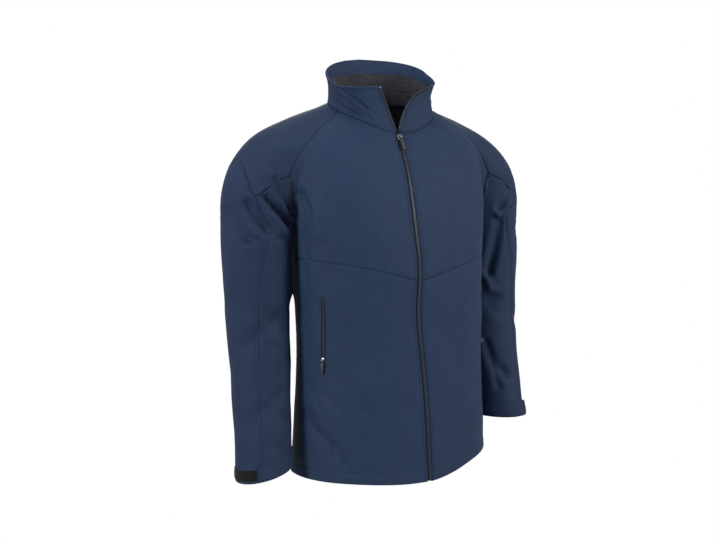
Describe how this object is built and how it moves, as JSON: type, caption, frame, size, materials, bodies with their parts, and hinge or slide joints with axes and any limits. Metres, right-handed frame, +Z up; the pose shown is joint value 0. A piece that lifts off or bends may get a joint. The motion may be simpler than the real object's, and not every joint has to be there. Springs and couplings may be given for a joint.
{
  "type": "softshell jacket",
  "caption": "Navy softshell jacket with raglan sleeves, open stand collar, full front zip, zipped hand pockets and cuff tabs, filled out as if worn",
  "frame": {"origin": "centre of the neck opening, at the height of the collar seam beside the neck", "axes": "+Z up, the wearer faces -Y, +X is the wearer's left"},
  "size_m": [0.6632, 0.2885, 0.8178],
  "materials": {
    "body_cloth": "bonded softshell, matt",
    "sleeve_cloth": "bonded softshell, matt",
    "fleece": "brushed fleece",
    "zip_tape": "woven tape",
    "loop_strip": "loop pile",
    "zip_teeth": "moulded",
    "slider_metal": "satin plated",
    "pull_plastic": "moulded"
  },
  "bodies": {
    "jacket": {"shoulder_panel_right": "sleeve_cloth", "outer_sleeve_right": "sleeve_cloth", "under_sleeve_right": "sleeve_cloth", "front_upper_right": "body_cloth", "front_lower_right": "body_cloth", "shoulder_panel_left": "sleeve_cloth", "outer_sleeve_left": "sleeve_cloth", "under_sleeve_left": "sleeve_cloth", "front_upper_left": "body_cloth", "front_lower_left": "body_cloth", "back_panel": "body_cloth", "collar": "body_cloth", "collar_facing": "body_cloth", "collar_lining": "fleece", "zip_chain": "zip_teeth", "collar_chain_right": "zip_teeth", "collar_chain_left": "zip_teeth", "zip_tape_right": "zip_tape", "zip_tape_left": "zip_tape", "wind_flap": "zip_tape", "zip_slider": "slider_metal", "pocket_welt_right": "body_cloth", "pocket_zip_right": "zip_teeth", "pocket_slider_right": "slider_metal", "pocket_welt_left": "body_cloth", "pocket_zip_left": "zip_teeth", "pocket_slider_left": "slider_metal", "cuff_strip_right": "loop_strip", "cuff_tab_right": "sleeve_cloth", "cuff_strip_left": "loop_strip", "cuff_tab_left": "sleeve_cloth"},
    "front_pull": {"zip_pull": "pull_plastic"},
    "pocket_pull_right_body": {"pocket_pull_right": "pull_plastic"},
    "pocket_pull_left_body": {"pocket_pull_left": "pull_plastic"}
  },
  "joints": [
    {"name": "front_pull_swing", "type": "hinge", "parent": "jacket", "child": "front_pull", "pos_m": [-0.01001, -0.10049, -0.07766], "axis": [-0.9999, 0.0002, -0.0146], "range_deg": [0, 130]},
    {"name": "pocket_pull_right_swing", "type": "hinge", "parent": "jacket", "child": "pocket_pull_right_body", "pos_m": [-0.17783, -0.09606, -0.49878], "axis": [-0.5189, 0.8545, 0.0228], "range_deg": [0, 150]},
    {"name": "pocket_pull_left_swing", "type": "hinge", "parent": "jacket", "child": "pocket_pull_left_body", "pos_m": [0.1864, -0.09769, -0.48659], "axis": [-0.5369, -0.8428, -0.0367], "range_deg": [0, 150]}
  ]
}
